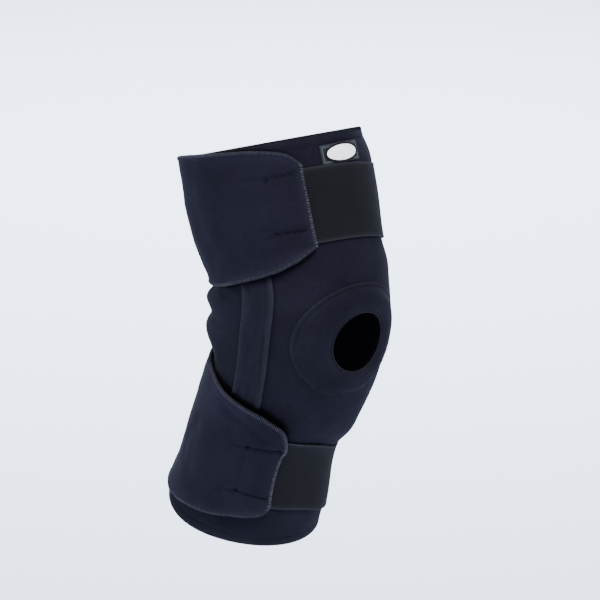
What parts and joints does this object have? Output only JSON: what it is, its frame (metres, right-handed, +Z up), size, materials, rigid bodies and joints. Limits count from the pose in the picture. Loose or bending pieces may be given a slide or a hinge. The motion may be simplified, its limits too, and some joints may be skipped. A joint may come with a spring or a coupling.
{
  "type": "knee sleeve",
  "caption": "Neoprene knee sleeve in its worn form on a slightly bent right leg, with an open knee cap ring, a side stay pocket and wrap straps that end in elastic bands.",
  "frame": {"origin": "on the axis of the leg, in the middle of the bend of the knee, where a leg holds the sleeve", "axes": "+Z up, -Y towards the front of the knee, -X towards the outer side of the right leg"},
  "size_m": [0.1496, 0.1863, 0.3217],
  "materials": {
    "neoprene": "matte black knit face bonded to foam rubber",
    "pad_cloth": "matte black knit face over a soft ring",
    "pocket_cloth": "matte black knit face, stitched flat along both edges",
    "wrap_cloth": "matte black brushed loop face on foam rubber, overcast edge",
    "elastic_webbing": "finely ribbed black elastic webbing",
    "hook_patch": "black hook tape",
    "label_cloth": "dark grey woven label",
    "badge_cloth": "bare white woven oval"
  },
  "bodies": {
    "root": {"sleeve": "neoprene", "patella_pad": "pad_cloth", "stay_pocket": "pocket_cloth", "upper_wrap": "wrap_cloth", "lower_wrap": "wrap_cloth", "upper_elastic": "elastic_webbing", "lower_elastic": "elastic_webbing", "upper_hook_tab": "hook_patch", "lower_hook_tab": "hook_patch", "label_tab": "label_cloth", "label_badge": "badge_cloth"}
  },
  "joints": []
}
